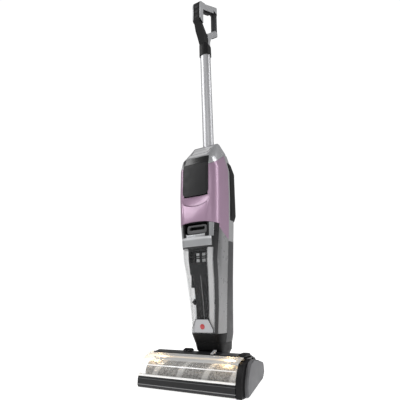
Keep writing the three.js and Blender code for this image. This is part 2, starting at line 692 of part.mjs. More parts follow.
function frontShell() {
  const skin = bodyShell(SHELL_REAR_EDGE - 5, 580, BODY_WALL).intersect(aheadOfSeam(300, 600));
  const doorway = plateY(doorOutline(GAP), -120, -30);
  const upperBand = block([-DOOR.halfWidth - GAP, DOOR.halfWidth + GAP], [-120, -30], [DOOR.top, 600]);
  const trimmed = cut(skin, aboveCollarEdge(-GAP), belowShellEdge(), doorway, upperBand);
  return cut(join(trimmed, scoopBacking()), scoopDish());
}

// Dish below the door that a finger goes into, and the thick wall behind it.
function scoopDish() {
  const { z, halfWidth, height, depth } = SCOOP;
  const dish = new THREE.SphereGeometry(1, 28, 14).scale(halfWidth, depth, height);
  return solid(dish.translate(0, sectionAt(z).front, z));
}

function scoopBacking() {
  const { z, halfWidth, height, backing } = SCOOP;
  const zone = block([-halfWidth - 3, halfWidth + 3], [-120, -40], [z - height - 3, DOOR.bottom - 1.5]);
  return bodyShell(z - height - 4, DOOR.bottom, backing).intersect(zone).intersect(bodyForm(400, 460, 1));
}

function topCollar() {
  const skin = cut(bodyForm(510, 610), bodyForm(500, 604, BODY_WALL));
  const spineZone = block(WIDE, [SPINE_SEAM_Y, 200], [400, 583 + GAP]);
  const poleHole = poleBar(POLE.halfWidth + GAP, POLE.halfDepth + GAP, 540, 640);
  const edged = cut(skin.intersect(aboveCollarEdge(0)), spineZone, poleHole);
  return cut(edged, displayPocket(GAP), bandZone(DOOR.top - 20, GAP));
}

// Room of the glossy band between the filter door and the collar.
function bandZone(bottom, grow) {
  const half = DOOR.halfWidth + grow;
  return block([-half, half], [-120, -30], [bottom, BAND_TOP + grow]);
}

function sensorBand() {
  const skin = bodyShell(DOOR.top - 10, BAND_TOP + 10, BODY_WALL);
  return skin.intersect(bandZone(DOOR.top + GAP, 0));
}

// The sloping display face runs between the last three body sections.
function displayPocket(grow) {
  const [low, high] = [sectionAt(560), sectionAt(606)];
  const slope = Math.atan2(high.z - low.z, high.front - low.front);
  const [ny, nz] = [-Math.sin(slope), Math.cos(slope)];
  const depth = 1.6;
  const [y0, z0] = [low.front + 4, low.z + 4 * Math.tan(slope)];
  const [y1, z1] = [high.front - 4, high.z - 4 * Math.tan(slope)];
  const outline = [
    [y0 - ny * depth, z0 - nz * depth],
    [y1 - ny * depth, z1 - nz * depth],
    [y1 + ny * grow * 4, z1 + nz * grow * 4],
    [y0 + ny * grow * 4, z0 + nz * grow * 4],
  ];
  return plateX(outline, -DISPLAY_HALF_WIDTH - grow, DISPLAY_HALF_WIDTH + grow);
}

function displayLens() {
  const skin = bodyForm(510, 610, 0.2);
  return displayPocket(0.1).intersect(skin);
}

function filterDoor() {
  const plate = plateY(doorOutline(0), -120, -30);
  const outer = bodyForm(DOOR.bottom - 20, DOOR.top + 20, 0.3);
  const inner = bodyForm(DOOR.bottom - 25, DOOR.top + 25, DOOR.thickness);
  return plate.intersect(cut(outer, inner)).intersect(block(WIDE, [-120, -40], [400, 600]));
}

function filterElement() {
  const frame = block([-30, 30], [-56, -36], [DOOR.bottom + 14, DOOR.top - 12]);
  const pleats = Array.from({ length: 7 }, (_, i) => {
    const x = -24 + i * 8;
    return block([x - 1.8, x + 1.8], [-58, -53], [DOOR.bottom + 18, DOOR.top - 16]);
  });
  return cut(frame, ...pleats);
}

// ---- Body: fan, motor, pump, board -------------------------------------------------------------------

function impeller() {
  const centre = [0, SUCTION.y];
  const base = SUCTION.fanZ;
  const plate = rod("z", SUCTION.fan, base, base + 2, centre, 28);
  const hub = rod("z", 7, base, base + SUCTION.fanHeight, centre, 16);
  const blades = Array.from({ length: 7 }, (_, i) => {
    const blade = new THREE.BoxGeometry(SUCTION.fan - 7, 1.6, SUCTION.fanHeight - 3);
    blade.translate((SUCTION.fan + 5) / 2, 0, 0).rotateZ((i * 2 * Math.PI) / 7);
    return solid(blade.translate(0, SUCTION.y, base + SUCTION.fanHeight / 2 - 0.5));
  });
  return join(plate, hub, ...blades);
}

function suctionMotor() {
  const base = SUCTION.fanZ + SUCTION.fanHeight + 2;
  const centre = [0, SUCTION.y];
  const can = rod("z", SUCTION.motor, base, base + SUCTION.motorHeight, centre, 24);
  const flange = rod("z", SUCTION.motor + 5, base, base + 3, centre, 24);
  return join(can, flange);
}

function waterPump() {
  const { x, y, bottom } = PUMP;
  const neck = bottom + PUMP.headHeight;
  const head = rod("z", PUMP.head, bottom, neck + 1, [x, y], 16);
  const motor = rod("z", PUMP.motor, neck, neck + PUMP.motorHeight, [x, y], 16);
  const ports = block([x - 2.5, x + 2.5], [y, y + 17], [bottom + 3, bottom + 8]);
  return join(head, motor, ports);
}

function controlBoard() {
  const { halfWidth, front, thickness, bottom, top } = BOARD;
  const board = block([-halfWidth, halfWidth], [front, front + thickness], [bottom, top]);
  const parts = [[-20, 480], [8, 500], [22, 525]].map(([x, z]) =>
    block([x - 7, x + 7], [front - 4, front + 0.5], [z - 6, z + 6]),
  );
  return join(board, ...parts);
}

// ---- Battery -----------------------------------------------------------------------------------------

const BULGE_SECTIONS = [
  { z: BATTERY.bottom, halfWidth: 58, front: -60, rear: 59, radius: 26 },
  { z: BATTERY.bottom + 14, halfWidth: 61, front: -60, rear: 57 + BATTERY.bulge, radius: 27 },
  { z: 530, halfWidth: 61, front: -60, rear: 56 + BATTERY.bulge, radius: 27 },
  { z: BATTERY.top, halfWidth: 54, front: -60, rear: 55, radius: 26 },
];

function batteryPack() {
  const form = bodyForm(BATTERY.bottom, BATTERY.top, 0, BULGE_SECTIONS);
  const pack = form.intersect(block(WIDE, [BATTERY.front, 200], [300, 700]));
  const ribs = [0, 1, 2].map((i) => {
    const z = BATTERY.top - 40 + i * 6;
    return block([-26, 26], [50, 57 + BATTERY.bulge + 1], [z, z + 2.5]);
  });
  return join(pack, ...ribs);
}

// ---- Tank --------------------------------------------------------------------------------------------

// The clear tank's outer or inner form: its sides step in where the clean tank's wings cover them.
function tankForm(z0, z1, inset, rear) {
  const full = bodyForm(z0, z1, 0.4 + inset).intersect(block(WIDE, [-200, rear], [0, 600]));
  const steps = cut(wingZone(GAP + inset), bodyForm(z0 - 1, z1 + 1, 0.4 + inset + WING.thickness + GAP));
  return cut(full, steps);
}

function dirtyTank() {
  const { bottom, top, wall, divide } = TANK;
  const outer = tankForm(bottom, top, 0, divide);
  const inner = tankForm(bottom + wall, top + 5, wall, divide - wall);
  const port = rod("z", 12.5, bottom - 5, bottom + 10, [0, sectionAt(bottom).front + 28], 20);
  return cut(outer, inner, port, badgePlate(GAP));
}

function cleanTank() {
  const sides = block(WIDE, [TANK.divide + GAP, SPINE_SEAM_Y], [0, 400]);
  const front = bodyForm(TANK.bottom, CLEAN.top, 0.4).intersect(sides);
  const half = CLEAN.halfWidth;
  const rear = block([-half, half], [TANK.divide + 3, CLEAN.rear], [TANK.bottom, CLEAN.top]);
  const wall = TANK.wall;
  const frontHollow = bodyForm(TANK.bottom + wall, CLEAN.top - wall, 0.4 + wall).intersect(
    block(WIDE, [TANK.divide + GAP + wall, SPINE_SEAM_Y - wall], [0, 400]),
  );
  const rearHollow = block(
    [-half + wall, half - wall], [TANK.divide + 6, CLEAN.rear - wall], [TANK.bottom + wall, CLEAN.top - wall],
  );
  const filler = rod("z", CLEAN.filler, CLEAN.top - 10, CLEAN.top + 10, [0, 28], 20);
  return cut(join(front, rear, tankWings()), frontHollow, rearHollow, filler);
}

// Both side zones that the wings fill; their front margins flare apart as they rise.
function wingZone(grow) {
  const [low, high] = [TANK.bottom - 10, WING.top + 20];
  const innerAt = (z) => WING.inner + (z - WING.innerZ) * WING.flare - grow;
  const outline = [[innerAt(low), low], [400, low], [400, high], [innerAt(high), high]];
  const right = plateY(outline, -200, 200);
  return join(right, right.mirror([1, 0, 0]));
}

// Side panels of the clean tank that reach forward over the clear tank, up to the shell's lower edge.
function tankWings() {
  const skin = cut(
    bodyForm(TANK.bottom, WING.top, 0.4),
    bodyForm(TANK.bottom - 1, WING.top + 1, 0.4 + WING.thickness),
  );
  const panels = skin.intersect(wingZone(0)).intersect(aheadOfSeam(0, 600));
  return panels.intersect(shifted(belowShellEdge(), -GAP));
}

function cleanTankCap() {
  const neck = rod("z", CLEAN.filler - GAP, CLEAN.top - 4, CLEAN.top + 1, [0, 28], 20);
  const disc = rod("z", CLEAN.filler + 4, CLEAN.top + GAP, CLEAN.top + 7, [0, 28], 20);
  const grip = block([-10, 10], [26.5, 29.5], [CLEAN.top + 6.5, CLEAN.top + 12]);
  return join(neck, disc, grip);
}

function recessOutline(grow) {
  const side = LID.recess + grow;
  const low = LID.top + 6 - grow;
  return [
    [side, 420], [-side, 420],
    ...arc(-side + 10, low + 10, 10, 180, 270, 3),
    ...arc(side - 10, low + 10, 10, 270, 360, 3),
  ];
}

function tankLid() {
  const base = tankForm(TANK.top + GAP, LID.top, 0, TANK.divide);
  const upper = tankForm(LID.top - 1, LID.blockTop, 0, LID.blockRear);
  const deck = bodyForm(TANK.top + GAP, LID.top, 0.4 + 5).intersect(
    block(WIDE, [LID.blockRear + 8, TANK.divide - 4], [TANK.top - 10, LID.top - 4]),
  );
  const recess = plateY(recessOutline(0), -120, -44);
  const lipOutline = bodyForm(LID.top - LID.lipHeight, LID.top - 1, -2.6);
  const lip = lipOutline.intersect(block([-LID.lip, LID.lip], [-120, -44], [300, 360]));
  const outlet = rod("z", OUTLET_RADIUS, LID.top - 30, LID.top + 10, [0, SUCTION.y], 16);
  const whole = join(base, lip, cut(upper, recess));
  return cut(whole.intersect(shifted(belowShellEdge(), -GAP)), deck, outlet, separatorFlange(GAP));
}

function shifted(shape, dz) {
  return shape.translate([0, 0, dz]);
}

function tankLatch() {
  const outline = roundedBox(-LID.recess + 5, LID.recess - 5, LID.top + 9, LID.blockTop - 3, 6, 3);
  const window = roundedBox(-LID.recess + 11, LID.recess - 11, LID.top + 18, LID.blockTop - 7, 3, 2);
  return plateY(outline, LATCH.front, LATCH.rear, [window]);
}

// The separator hangs from the lid: a wide cage on a flat riser duct that follows the tank's front wall.
function frontAt(z) {
  return sectionAt(z).front + 0.4 + TANK.wall;
}

function ductForm(z0, z1, halfWidth, depth, inset) {
  const levels = [z0, ...SECTIONS.map((s) => s.z).filter((z) => z > z0 && z < z1), z1];
  return loft(
    levels.map((z) => {
      const front = frontAt(z) + 1.5 + inset;
      return roundedBox(-halfWidth + inset, halfWidth - inset, front, front + depth - 2 * inset, 5, 3)
        .map(([x, y]) => [x, y, z]);
    }),
  );
}

function separatorFlange(grow) {
  const z = TANK.top + GAP;
  const front = frontAt(z) + 1.5;
  return block([-CAGE.halfWidth - grow, CAGE.halfWidth + grow], [front - grow, front + CAGE.depth + grow], [
    z - 1, z + 6 + grow,
  ]);
}

function separator() {
  const bottom = TANK.bottom + TANK.wall + 2;
  const riser = ductForm(bottom, CAGE.bottom + 4, RISER.halfWidth, RISER.depth, 0);
  const riserBore = ductForm(bottom - 3, CAGE.bottom + 6, RISER.halfWidth, RISER.depth, RISER.wall);
  const cage = ductForm(CAGE.bottom, TANK.top, CAGE.halfWidth, CAGE.depth, 0);
  const cageBore = ductForm(CAGE.bottom + CAGE.wall, TANK.top - 3, CAGE.halfWidth, CAGE.depth, CAGE.wall);
  const flange = separatorFlange(0);
  const windows = [CAGE.windows, CAGE.windows + 15].flatMap((z) =>
    [-17, 0, 17].map((x) => block([x - 6.5, x + 6.5], [-80, 0], [z, z + 12])),
  );
  const outlet = rod("z", OUTLET_RADIUS, TANK.top - 20, TANK.top + 20, [0, SUCTION.y - 14], 16);
  const front = frontAt(236) + 6;
  const side = block([-CAGE.halfWidth, -CAGE.halfWidth + 8], [front, front + 8], [224, CAGE.bottom + 2]);
  return cut(join(riser, cage, flange, side), riserBore, cageBore, ...windows, outlet);
}

function floatRing() {
  const { z, height, reach } = FLOAT;
  const [y0, y1] = [frontAt(z) + 1.5, frontAt(z) + 1.5 + RISER.depth];
  const level = (dz, grow) => {
    const half = RISER.halfWidth + grow;
    return roundedBox(-half, half, y0 - 0.5, y1 + grow, 5, 3).map(([x, y]) => [x, y, z + dz]);
  };
  const ring = loft([level(-height / 2, 4), level(0, reach), level(height / 2, 4)]);
  const bore = block([-RISER.halfWidth - 1, RISER.halfWidth + 1], [y0 - 20, y1 + 2.2], [z - 20, z + 20]);
  const room = tankForm(z - 20, z + 20, TANK.wall + 0.8, TANK.divide - TANK.wall - 1);
  return cut(ring, bore).intersect(room);
}

function badgePlate(grow) {
  const top = BADGE.top + grow;
  const bottom = TANK.bottom + 2 - grow;
  const half = BADGE.halfWidth + grow;
  const outline = [[-half, bottom], [half, bottom], [half, bottom + 8], [half - 12, top], [-half + 12, top],
    [-half, bottom + 8]];
  const zone = plateY(outline, -80, -10);
  const depth = BADGE.thickness - 1 + grow;
  const skin = cut(
    bodyForm(TANK.bottom - 3, BADGE.top + 10, -1.4),
    bodyForm(TANK.bottom - 4, BADGE.top + 11, depth - 0.6),
  );
  return zone.intersect(skin).intersect(block(WIDE, [-80, -22], [0, 200]));
}

// ---- Pole and handle ---------------------------------------------------------------------------------

function poleY(z) {
  return POLE.baseY + (z - 614) * POLE.lean;
}

function poleBar(halfWidth, halfDepth, z0, z1) {
  const ring = (z) => {
    return Array.from({ length: 24 }, (_, i) => {
      const angle = (i * Math.PI) / 12;
      return [halfWidth * Math.cos(angle), poleY(z) + halfDepth * Math.sin(angle), z];
    });
  };
  return loft([ring(z0), ring(z1)]);
}

function pole() {
  const outer = poleBar(POLE.halfWidth, POLE.halfDepth, POLE.baseZ, POLE.top);
  const bore = poleBar(POLE.halfWidth - POLE.wall, POLE.halfDepth - POLE.wall, POLE.baseZ - 5, POLE.top + 5);
  return cut(outer, bore);
}

function handleCollar() {
  const y = poleY(925);
  const rings = [
    { z: HANDLE.collarBottom, halfWidth: 17.6, front: y - 15.4, rear: y + 17, radius: 14 },
    { z: HANDLE.datum, halfWidth: 17.2, front: y - 16.2, rear: y + 15.6, radius: 13.5 },
    { z: HANDLE.bottom - GAP, halfWidth: 14, front: y - 16, rear: y + 13, radius: 6 },
  ];
  const outer = loft(rings.map((ring) => sectionRing(ring, 0, 4)));
  return cut(outer, poleBar(POLE.halfWidth + GAP, POLE.halfDepth + GAP, 880, HANDLE.datum + GAP));
}

// Black core of the handle: the stem and the strut that carries the buttons.
function handleFront() {
  const { bottom, strutRear } = HANDLE;
  const face = BUTTON.face;
  const stemOutline = [
    [-3, bottom], [-3, 962], [-11, 979], [strutRear - GAP, 1001.4], [face + 4, 1001.4], [-41, 978],
    [-27, 957], [-20, bottom],
  ];
  const strutOutline = [
    [strutRear - GAP, 1000], [strutRear - GAP, 1064], [face + 4, 1073], [face, 1063], [face, 1008],
    [face + 3.6, 1000],
  ];
  const stem = plateX(stemOutline, -HANDLE.halfWidth, HANDLE.halfWidth);
  const core = HANDLE.strut - HANDLE.cheek - GAP;
  const strut = plateX(strutOutline, -core, core);
  const pockets = [0, 1, 2].map((i) => buttonBody(i, GAP, BUTTON.travel));
  return cut(join(stem, strut), ...pockets);
}

// Silver loop: the upper arm, the bar inside the grip, the lower arm and a cheek beside the strut.
function handleShell(side) {
  const { halfWidth, strut, cheek, strutRear, bottom } = HANDLE;
  const span = (near, far) => ordered(side * near, side * far);
  const loop = [
    [-3 + GAP, bottom], [8, bottom], [9, 962], [15, 980], [50, 1013], [62, 1021],
    [HANDLE.rear, 1028], [HANDLE.rear, 1124], [61, 1131], [55, 1130], [-25, 1082],
    [strutRear, 1077], [strutRear, 1054], [-22, 1061], [40, 1095.5], [44, 1092], [44, 1040],
    [40, 1025], [-8, 983.5], [-3 + GAP, 964],
  ];
  const cheekOutline = [
    [-49, 1072], [-52, 1062], [-52, 1010], [-48, 1004], [strutRear - 1, 1002], [strutRear - 1, 1052],
    [-24, 1058], [-24, 1082], [strutRear, 1078],
  ];
  const crown = roundedBox(-halfWidth, halfWidth, -90, HANDLE.rear, halfWidth - 0.5, 4);
  const arms = plateX(loop, ...span(0.2, halfWidth)).intersect(plateZ(crown, 900, 1200));
  const cheekPlate = plateX(cheekOutline, ...span(strut - cheek, strut));
  const room = block([-30, 30], [GRIP.y - 20, GRIP.y + 20], [GRIP.bottom - GAP, GRIP.top + GAP]);
  const { y, core } = GRIP;
  const bar = block([-core, core], [y - core, y + core], [GRIP.bottom - 3, GRIP.top + 3]);
  return cut(join(arms, cheekPlate), cut(room, bar), triggerZone());
}

function buttonBody(i, grow, depth) {
  const z = BUTTON.lowest + i * BUTTON.pitch;
  const { halfWidth, height, face, proud } = BUTTON;
  const [side, rise] = [halfWidth + grow, height / 2 + grow];
  const outline = roundedBox(-side, side, z - rise, z + rise, rise - 0.2, 3);
  return plateY(outline, face - proud - depth, face + 3.4 + (depth ? depth + grow : 0));
}

function gripRing(halfWidth, halfDepth, z) {
  return arc(0, GRIP.y, 1, 0, 345, 23).map(([x, y]) => [x * halfWidth, GRIP.y + (y - GRIP.y) * halfDepth, z]);
}

function gripCover() {
  const { halfWidth, halfDepth, bottom, top, core } = GRIP;
  const outer = loft([
    gripRing(halfWidth - 1.2, halfDepth - 1.2, bottom),
    gripRing(halfWidth, halfDepth, bottom + 3),
    gripRing(halfWidth, halfDepth, top - 3),
    gripRing(halfWidth - 1.2, halfDepth - 1.2, top),
  ]);
  const bore = core + GAP;
  return cut(outer, block([-bore, bore], [GRIP.y - bore, GRIP.y + bore], [bottom - 1, top + 1]));
}

// The trigger lies along the upper arm's underside and swings up into it about a pin at its front end.
function triggerZone() {
  const { y, z, reach, slope } = TRIGGER;
  const outline = [
    [y - 7, z - 20], [y + reach + 2, z - 20], [y + reach + 2, z + reach * slope + 7], [y + 8, z + 11],
    [y - 7, z + 6],
  ];
  return plateX(outline, -TRIGGER.halfWidth - GAP, TRIGGER.halfWidth + GAP);
}

function trigger() {
  const { y, z, reach, slope } = TRIGGER;
  const rise = reach * slope;
  const outline = [
    [y - 5, z - 4.5], [y + 6, z - 3], [y + reach, z + rise - 6], [y + reach, z + rise - 1.5],
    [y + 6, z + 6], [y - 4, z + 4], [y - 5.5, z],
  ];
  return plateX(outline, -TRIGGER.halfWidth, TRIGGER.halfWidth);
}

// ---- Assembly ----------------------------------------------------------------------------------------

function assembleHead() {
  place("head_chassis", headChassis(), blackPlastic);
  place("sole_plate", solePlate(), blackPlastic);
  place("squeegee", squeegee(), rubber);
  place("head_top_cover", headTopCover(), greyPlastic);
  place("cover_strip", coverStrip(), blackPlastic);
  place("led_bar", ledBar(), warmLens);
  place("spray_bar", sprayBar(), blackPlastic);
  place("front_bumper", frontBumper(), blackPlastic);
  place("drive_housing", driveHousing(), blackPlastic);
  place("end_cap_right", endCap(), greyPlastic);
  place("drive_belt", driveBelt(), rubber);
  place("brush_motor", brushMotor(), steel);
  place("motor_pulley", motorPulley(), blackPlastic);
  place("brush_core", brushCore(), blackPlastic);
  place("brush_pile", brushPile(), pile);
  place("brush_window", brushWindow(), clearPlastic);
  place("release_button", releaseButton(), blackPlastic);
  place("cover_catch", coverCatch(), blackPlastic);
  place("cover_tab", coverTab(), silverPlastic);
  place("suction_duct", suctionDuct(), blackPlastic);
  place("charge_contacts", chargeContacts(), steel);
  for (const [name, side] of [["left", -1], ["right", 1]]) {
    place(`pivot_pin_${name}`, pivotPin(side), steel);
    place(`wheel_${name}`, wheelHub(side), blackPlastic);
    place(`tyre_${name}`, wheelTyre(side), rubber);
  }
  place("neck_yoke", neckYoke(), blackPlastic);
}

function assembleBody() {
  place("base_seat", baseSeat(), blackPlastic);
  place("rear_spine", rearSpine(), greyPlastic);
  place("motor_frame", motorFrame(), blackPlastic);
  place("front_shell", frontShell(), lilacPaint);
  place("top_collar", topCollar(), silverPlastic);
  place("sensor_band", sensorBand(), glossBlack);
  place("display_lens", displayLens(), silverPlastic);
  place("filter_door", filterDoor(), blackPlastic);
  place("filter_element", filterElement(), filterMedia);
  place("impeller", impeller(), blackPlastic);
  place("suction_motor", suctionMotor(), steel);
  place("water_pump", waterPump(), blackPlastic);
  place("control_board", controlBoard(), greenBoard);
  place("battery_pack", batteryPack(), blackPlastic);
}

function assembleTank() {
  place("dirty_tank", dirtyTank(), clearPlastic);
  place("clean_tank", cleanTank(), smokedPlastic);
  place("clean_tank_cap", cleanTankCap(), blackPlastic);
  place("tank_lid", tankLid(), silverPlastic);
  place("tank_latch", tankLatch(), greyPlastic);
  place("separator", separator(), glossBlack);
  place("float_ring", floatRing(), blackPlastic);
  place("front_badge", badgePlate(0), silverPlastic);
}

// The handle's heights are stated for a pole that ends at HANDLE.datum; this carries them to its real end.
function onPole(shape) {
  const lift = POLE.top - HANDLE.datum;
  return shape.translate([0, lift * POLE.lean, lift]);
}

function assembleHandle() {
  place("pole", pole(), aluminium);
  place("handle_collar", onPole(handleCollar()), blackPlastic);
  place("handle_shell_left", onPole(handleShell(-1)), silverPlastic);
  place("handle_shell_right", onPole(handleShell(1)), silverPlastic);
  place("handle_front", onPole(handleFront()), blackPlastic);
  place("grip_cover", onPole(gripCover()), rubber);
  place("trigger", onPole(trigger()), blackPlastic);
  ["mode_button_lower", "mode_button_upper", "power_button"].forEach((name, i) =>
    place(name, onPole(buttonBody(i, 0, 0)), rubber),
  );
}

assembleHead();
assembleBody();
assembleTank();
assembleHandle();

// Bring the middle of the machine's outer box over the origin.
const middle = new THREE.Box3().setFromObject(model).getCenter(new THREE.Vector3());
model.position.set(-middle.x, -middle.y, 0);

export default model;
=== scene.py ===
# Looks for the carpet cleaner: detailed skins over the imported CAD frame, in metres, +Z up, front towards -Y.
import json
import math

import bmesh
import bpy
from mathutils import Matrix, Vector, noise


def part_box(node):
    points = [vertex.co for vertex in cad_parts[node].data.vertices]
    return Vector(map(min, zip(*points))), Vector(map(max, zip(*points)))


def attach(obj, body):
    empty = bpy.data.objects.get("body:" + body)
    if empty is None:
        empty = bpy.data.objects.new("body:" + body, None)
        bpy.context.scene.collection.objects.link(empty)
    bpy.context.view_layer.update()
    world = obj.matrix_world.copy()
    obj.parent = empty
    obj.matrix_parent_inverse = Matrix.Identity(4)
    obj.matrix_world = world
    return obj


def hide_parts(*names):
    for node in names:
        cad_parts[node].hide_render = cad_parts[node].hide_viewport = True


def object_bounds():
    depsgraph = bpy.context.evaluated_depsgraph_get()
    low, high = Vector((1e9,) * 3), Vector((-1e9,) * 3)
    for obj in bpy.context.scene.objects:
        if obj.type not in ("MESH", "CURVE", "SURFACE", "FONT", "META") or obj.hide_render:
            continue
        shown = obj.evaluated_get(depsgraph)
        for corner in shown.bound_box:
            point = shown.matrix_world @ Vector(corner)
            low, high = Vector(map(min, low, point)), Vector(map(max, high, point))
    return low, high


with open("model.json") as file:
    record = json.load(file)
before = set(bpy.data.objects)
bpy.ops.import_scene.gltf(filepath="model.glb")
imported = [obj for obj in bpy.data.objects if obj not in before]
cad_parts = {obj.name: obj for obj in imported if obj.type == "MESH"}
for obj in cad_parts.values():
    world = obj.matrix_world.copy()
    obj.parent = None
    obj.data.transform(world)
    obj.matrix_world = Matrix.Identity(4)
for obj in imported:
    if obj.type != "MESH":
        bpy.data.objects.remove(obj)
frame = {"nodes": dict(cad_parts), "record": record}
cad_low, cad_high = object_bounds()
MM = 0.001
BODY_OF = {n: b for b, nodes in frame["record"]["behaviour"]["bodies"].items() for n in nodes}
SLOT_OF = {s["node"]: s["material_slot"] for s in frame["record"]["subparts"]}


# ---- Node-tree helpers -------------------------------------------------------------------------------

class Shader:
    """A material with one Principled shader and short calls for the nodes that feed it."""

    def __init__(self, name, color, roughness, metallic=0.0):
        self.mat = bpy.data.materials.new(name)
        self.mat.use_nodes = True
        self.tree = self.mat.node_tree
        self.bsdf = self.tree.nodes["Principled BSDF"]
        self.bsdf.inputs["Base Color"].default_value = (*color, 1)
        self.bsdf.inputs["Roughness"].default_value = roughness
        self.bsdf.inputs["Metallic"].default_value = metallic
        self.color = color
        self.roughness = roughness
        self.coord = self.tree.nodes.new("ShaderNodeTexCoord").outputs["Object"]

    def node(self, kind, **values):
        made = self.tree.nodes.new(kind)
        for key, value in values.items():
            setattr(made, key, value)
        return made

    def link(self, source, target):
        self.tree.links.new(source, target)

    def stretched(self, scale):
        mapping = self.node("ShaderNodeMapping")
        mapping.inputs["Scale"].default_value = scale
        self.link(self.coord, mapping.inputs["Vector"])
        return mapping.outputs["Vector"]

    def noise(self, scale, detail=4, vector=None):
        made = self.node("ShaderNodeTexNoise")
        made.inputs["Scale"].default_value = scale
        made.inputs["Detail"].default_value = detail
        self.link(vector or self.coord, made.inputs["Vector"])
        return made.outputs["Fac"]

    def ramp(self, value, stops):
        made = self.node("ShaderNodeValToRGB")
        elements = made.color_ramp.elements
        while len(elements) < len(stops):
            elements.new(0.5)
        for element, (place, color) in zip(elements, stops):
            element.position = place
            element.color = (*color, 1)
        self.link(value, made.inputs["Fac"])
        return made.outputs["Color"]

    def remap(self, value, low, high, out_low, out_high):
        made = self.node("ShaderNodeMapRange")
        for key, number in zip(("From Min", "From Max", "To Min", "To Max"), (low, high, out_low, out_high)):
            made.inputs[key].default_value = number
        self.link(value, made.inputs["Value"])
        return made.outputs["Result"]

    def vary_color(self, value, share):
        darker = tuple(c * (1 - share) for c in self.color)
        lighter = tuple(min(c * (1 + share), 1) for c in self.color)
        self.link(self.ramp(value, [(0.35, darker), (0.65, lighter)]), self.bsdf.inputs["Base Color"])

    def vary_roughness(self, value, spread):
        low, high = self.roughness - spread, self.roughness + spread
        self.link(self.remap(value, 0.3, 0.7, max(low, 0.02), high), self.bsdf.inputs["Roughness"])

    def within(self, axis, low, high, soft=0.0002):
        """1 where the object's own coordinate lies between low and high (metres), 0 outside."""
        split = self.node("ShaderNodeSeparateXYZ")
        self.link(self.coord, split.inputs[0])
        value = split.outputs[axis]
        rise = self.remap(value, low - soft, low + soft, 0, 1)
        fall = self.remap(value, high - soft, high + soft, 1, 0)
        return self.times(rise, fall)

    def times(self, first, second):
        made = self.node("ShaderNodeMath", operation="MULTIPLY")
        self.link(first, made.inputs[0])
        self.link(second, made.inputs[1])
        return made.outputs[0]

    def leaning(self, flare):
        """X less a share of Z: constant along a line that leans outwards as it rises."""
        split = self.node("ShaderNodeSeparateXYZ")
        self.link(self.coord, split.inputs[0])
        made = self.node("ShaderNodeMath", operation="MULTIPLY_ADD")
        made.inputs[1].default_value = -flare
        self.link(split.outputs["Z"], made.inputs[0])
        self.link(split.outputs["X"], made.inputs[2])
        return made.outputs[0]

    def thicken(self, mask, alpha):
        """Raise the alpha to at least this value where the mask is 1."""
        socket = self.bsdf.inputs["Alpha"]
        thicker = self.node("ShaderNodeMath", operation="MAXIMUM")
        self.link(socket.links[0].from_socket, thicker.inputs[0])
        self.link(self.remap(mask, 0, 1, 0, alpha), thicker.inputs[1])
        self.link(thicker.outputs[0], socket)

    def tint(self, mask, color):
        """Blend the base colour towards another where the mask is 1."""
        socket = self.bsdf.inputs["Base Color"]
        mixer = self.node("ShaderNodeMix", data_type="RGBA")
        self.link(mask, mixer.inputs["Factor"])
        if socket.is_linked:
            self.link(socket.links[0].from_socket, mixer.inputs["A"])
        else:
            mixer.inputs["A"].default_value = socket.default_value
        mixer.inputs["B"].default_value = (*color, 1)
        self.link(mixer.outputs["Result"], socket)

    def bump(self, value, distance, strength=1.0):
        made = self.node("ShaderNodeBump")
        made.inputs["Distance"].default_value = distance
        made.inputs["Strength"].default_value = strength
        self.link(value, made.inputs["Height"])
        self.link(made.outputs["Normal"], self.bsdf.inputs["Normal"])


def moulded(name, color, roughness, grain=1400, depth=0.00006, share=0.06, gloss=0.5, glow=0.0):
    """Injection-moulded plastic: a fine grain, faint handling marks and a slightly uneven gloss.

    glow stands for light that a white wall passes through."""
    s = Shader(name, color, roughness)
    s.bsdf.inputs["Emission Color"].default_value = (*color, 1)
    s.bsdf.inputs["Emission Strength"].default_value = glow
    s.bsdf.inputs["Specular IOR Level"].default_value = gloss
    s.vary_color(s.noise(18), share)
    s.vary_roughness(s.noise(60, 6), 0.07)
    s.bump(s.noise(grain, 2), depth)
    return s.mat


def banded(name, color, roughness, bands):
    """Moulded plastic with grey bands, each from one height to another."""
    s = Shader(name, color, roughness)
    s.vary_color(s.noise(18), 0.06)
    s.vary_roughness(s.noise(60, 6), 0.07)
    s.bump(s.noise(1400, 2), 0.00006)
    s.bsdf.inputs["Specular IOR Level"].default_value = 0.3
    for low, high, grey in bands:
        s.tint(s.within("Z", low, high), (grey, grey, grey * 1.02))
    return s.mat


def polished(name, color, roughness, coat=0.5):
    """Gloss plastic under a clear coat, with a trace of orange peel."""
    s = Shader(name, color, roughness)
    s.vary_color(s.noise(9), 0.05)
    s.vary_roughness(s.noise(40, 5), 0.03)
    s.bump(s.noise(160, 1), 0.00002, 0.5)
    s.bsdf.inputs["Coat Weight"].default_value = coat
    s.bsdf.inputs["Coat Roughness"].default_value = 0.06
    return s.mat


def metallic_paint(name, color, roughness, metallic=0.55, flake=0.1):
    """Metallic paint: small flakes that glint under a satin clear coat."""
    s = Shader(name, color, roughness, metallic)
    s.vary_color(s.noise(2600, 1), flake)
    s.vary_roughness(s.noise(30, 5), 0.05)
    s.bump(s.noise(700, 2), 0.000015, 0.6)
    s.bsdf.inputs["Coat Weight"].default_value = 0.35
    s.bsdf.inputs["Coat Roughness"].default_value = 0.12
    return s.mat


def brushed(name, color, roughness, scale, share=0.12):
    """Metal drawn or turned along one direction."""
    s = Shader(name, color, roughness, 1.0)
    streaks = s.noise(1, 4, s.stretched(scale))
    s.vary_color(streaks, share)
    s.vary_roughness(streaks, 0.09)
    s.bump(streaks, 0.00001, 0.5)
    return s.mat


def rubbery(name, color, roughness=0.75):
    s = Shader(name, color, roughness)
    s.vary_color(s.noise(90, 6), 0.25)
    s.vary_roughness(s.noise(240, 4), 0.08)
    s.bump(s.noise(2200, 3), 0.00012)
    return s.mat


